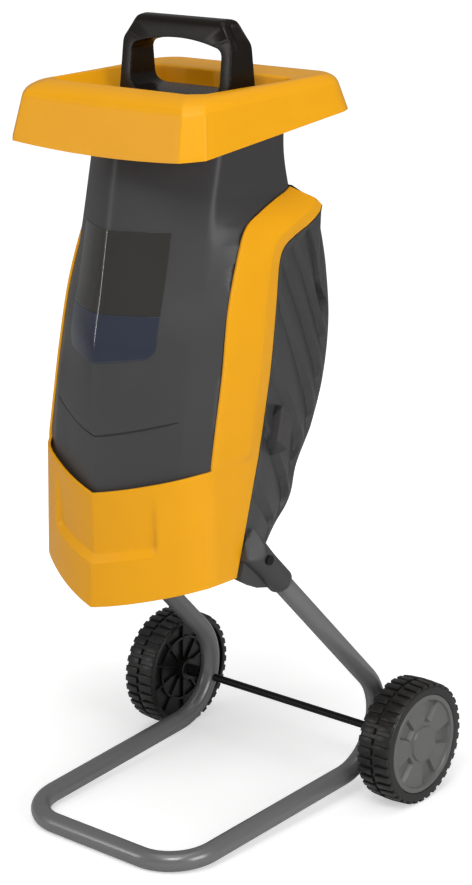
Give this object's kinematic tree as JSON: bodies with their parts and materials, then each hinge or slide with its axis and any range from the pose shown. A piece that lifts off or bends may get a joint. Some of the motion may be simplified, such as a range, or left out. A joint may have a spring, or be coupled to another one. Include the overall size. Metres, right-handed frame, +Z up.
{
  "type": "garden shredder",
  "caption": "Upright garden shredder: flared hopper with lift-out plunger over a motor and blade disc housing, on a bent tube stand with wheels.",
  "frame": {"origin": "on the ground under the middle of the outline", "axes": "+Z up, front is -Y, +X to the right hand side seen from the front"},
  "size_m": [0.444, 0.4584, 0.9907],
  "materials": {
    "yellow_plastic": "moulded, fine satin grain",
    "dark_plastic": "moulded, fine grain",
    "black_plastic": "moulded, semi-gloss",
    "label_film": "bare printed film",
    "tube_paint": "grey powder coat, semi-gloss",
    "wheel_black": "moulded tread",
    "hub_grey": "moulded, satin",
    "axle_black": "blackened rod",
    "zinc_steel": "zinc plated",
    "blade_steel": "hardened and ground",
    "motor_iron": "sheet steel can",
    "copper_winding": "varnished windings",
    "red_plastic": "moulded",
    "control_black": "moulded",
    "brass_pin": "plated pins"
  },
  "bodies": {
    "housing": {"front_bow": "tube_paint", "left_leg_tube": "tube_paint", "right_leg_tube": "tube_paint", "axle": "axle_black", "axle_spacers": "wheel_black", "axle_push_nuts": "zinc_steel", "left_leg_socket": "dark_plastic", "right_leg_socket": "dark_plastic", "leg_screws": "zinc_steel", "front_cover": "yellow_plastic", "feed_tower": "dark_plastic", "rear_shell": "dark_plastic", "label_plate": "label_film", "hopper": "yellow_plastic", "feed_chute": "control_black", "chamber_cover": "zinc_steel", "chamber_ring": "zinc_steel", "counter_blade": "blade_steel", "motor_deck": "zinc_steel", "left_side_bracket": "zinc_steel", "right_side_bracket": "zinc_steel", "deck_screws": "zinc_steel", "chip_shield": "control_black", "motor_can": "motor_iron", "motor_end_cap": "control_black", "upper_bearing": "blade_steel", "lower_bearing": "blade_steel", "motor_bolts": "zinc_steel", "switch_housing": "dark_plastic", "mains_inlet": "control_black", "inlet_pins": "brass_pin", "lock_stud": "zinc_steel", "housing_screws": "zinc_steel"},
    "left_wheel_unit": {"left_wheel": "wheel_black", "left_hub_cap": "hub_grey"},
    "right_wheel_unit": {"right_wheel": "wheel_black", "right_hub_cap": "hub_grey"},
    "cutter": {"motor_shaft": "blade_steel", "armature": "copper_winding", "cooling_fan": "control_black", "blade_disc": "zinc_steel", "left_blade": "blade_steel", "right_blade": "blade_steel", "blade_screws": "zinc_steel", "disc_nut": "zinc_steel"},
    "plunger": {"plunger": "black_plastic"},
    "rocker": {"rocker_switch": "control_black"},
    "reset": {"reset_button": "red_plastic"},
    "lock": {"lock_knob": "black_plastic"}
  },
  "joints": [
    {"name": "left_wheel_spin", "type": "hinge", "parent": "housing", "child": "left_wheel_unit", "pos_m": [-0.198, 0.14925, 0.08], "axis": [1, 0, 0], "continuous": true},
    {"name": "right_wheel_spin", "type": "hinge", "parent": "housing", "child": "right_wheel_unit", "pos_m": [0.198, 0.14925, 0.08], "axis": [1, 0, 0], "continuous": true},
    {"name": "cutter_spin", "type": "hinge", "parent": "housing", "child": "cutter", "pos_m": [0, 0.00047, 0.63458], "axis": [0, 0, 1], "continuous": true},
    {"name": "plunger_lift", "type": "slide", "parent": "housing", "child": "plunger", "axis": [0, 0, 1], "range_m": [0, 0.26]},
    {"name": "rocker_tilt", "type": "hinge", "parent": "housing", "child": "rocker", "pos_m": [-0.026, 0.12777, 0.62958], "axis": [1, 0, 0], "range_deg": [-7, 7]},
    {"name": "reset_press", "type": "slide", "parent": "housing", "child": "reset", "axis": [0, -1, 0], "range_m": [0, 0.003], "stiffness_N_per_m": 300},
    {"name": "lock_turn", "type": "hinge", "parent": "housing", "child": "lock", "pos_m": [0, 0.03047, 0.83158], "axis": [0, 1, 0], "range_deg": [0, 720]}
  ]
}
